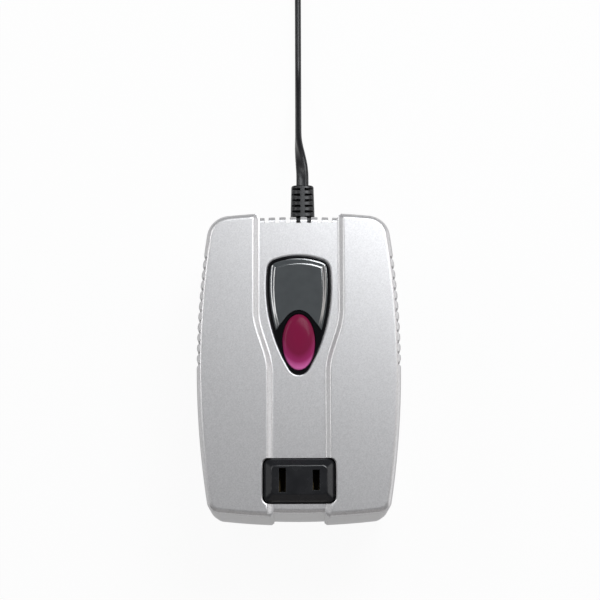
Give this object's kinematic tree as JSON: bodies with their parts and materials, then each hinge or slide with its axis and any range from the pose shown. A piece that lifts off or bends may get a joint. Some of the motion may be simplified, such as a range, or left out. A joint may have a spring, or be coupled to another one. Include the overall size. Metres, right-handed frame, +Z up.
{
  "type": "travel voltage converter",
  "caption": "Lobed silver step-down converter with a flat-blade outlet, an oval power button in a shield-shaped badge, side vents, an underside voltage selector and a flat cord with a plug.",
  "frame": {"origin": "centre of the body in plan, on the table that the feet stand on", "axes": "+Z up, +Y towards the cord, +X to the right when the outlet end is nearest"},
  "size_m": [0.0988, 0.3342, 0.0654],
  "materials": {
    "silver_paint": "silver metallic paint on moulded plastic, fine flake",
    "screw_steel": "plated",
    "foot_rubber": "matt",
    "gloss_black": "gloss",
    "label_grey": "printed foil, plain",
    "smoked_window": "smoked gloss",
    "magenta_lens": "translucent gloss",
    "cream_plastic": "moulded",
    "black_plastic": "fine texture",
    "lamp_amber": "clear",
    "board_green": "solder mask",
    "contact_brass": "bright",
    "core_steel": "stacked sheet edges",
    "winding_copper": "enamelled copper wire",
    "winding_tape": "tape",
    "bracket_steel": "plated",
    "fuse_ceramic": "glazed",
    "selector_white": "moulded",
    "lead_brown": "insulation",
    "cord_black": "satin",
    "tie_grey": "soft"
  },
  "bodies": {
    "case": {"upper_cover": "silver_paint", "lower_case": "silver_paint", "case_screws": "screw_steel", "rubber_feet": "foot_rubber", "badge_frame": "gloss_black", "label_plate": "label_grey", "display_window": "smoked_window", "switch_body": "black_plastic", "pilot_lamp": "lamp_amber", "switch_board": "board_green", "board_screws": "screw_steel", "outlet_housing": "black_plastic", "neutral_contact": "contact_brass", "live_contact": "contact_brass", "outlet_back": "black_plastic", "outlet_screws": "screw_steel", "core_e": "core_steel", "core_i": "core_steel", "bobbin": "cream_plastic", "winding": "winding_copper", "winding_tape": "winding_tape", "core_bracket": "bracket_steel", "bracket_screws": "screw_steel", "thermal_cutout": "black_plastic", "terminal_block": "cream_plastic", "terminal_screws": "screw_steel", "fuse_clips": "contact_brass", "fuse_link": "fuse_ceramic", "selector_body": "black_plastic", "selector_screws": "screw_steel", "cord_cores": "lead_brown", "supply_leads": "lead_brown", "switch_leads": "lead_brown", "outlet_leads": "lead_brown", "selector_leads": "lead_brown", "strain_relief": "cord_black", "cord_lead": "cord_black", "cord_coil": "cord_black", "cord_tie": "tie_grey", "plug_body": "cord_black", "plug_blades": "contact_brass"},
    "button": {"power_button": "magenta_lens", "switch_plunger": "cream_plastic"},
    "selector": {"selector_slider": "selector_white"}
  },
  "joints": [
    {"name": "button_press", "type": "slide", "parent": "case", "child": "button", "axis": [0, 0, -1], "range_m": [0, 0.0018], "stiffness_N_per_m": 900},
    {"name": "selector_slide", "type": "slide", "parent": "case", "child": "selector", "axis": [1, 0, 0], "range_m": [0, 0.004]}
  ]
}
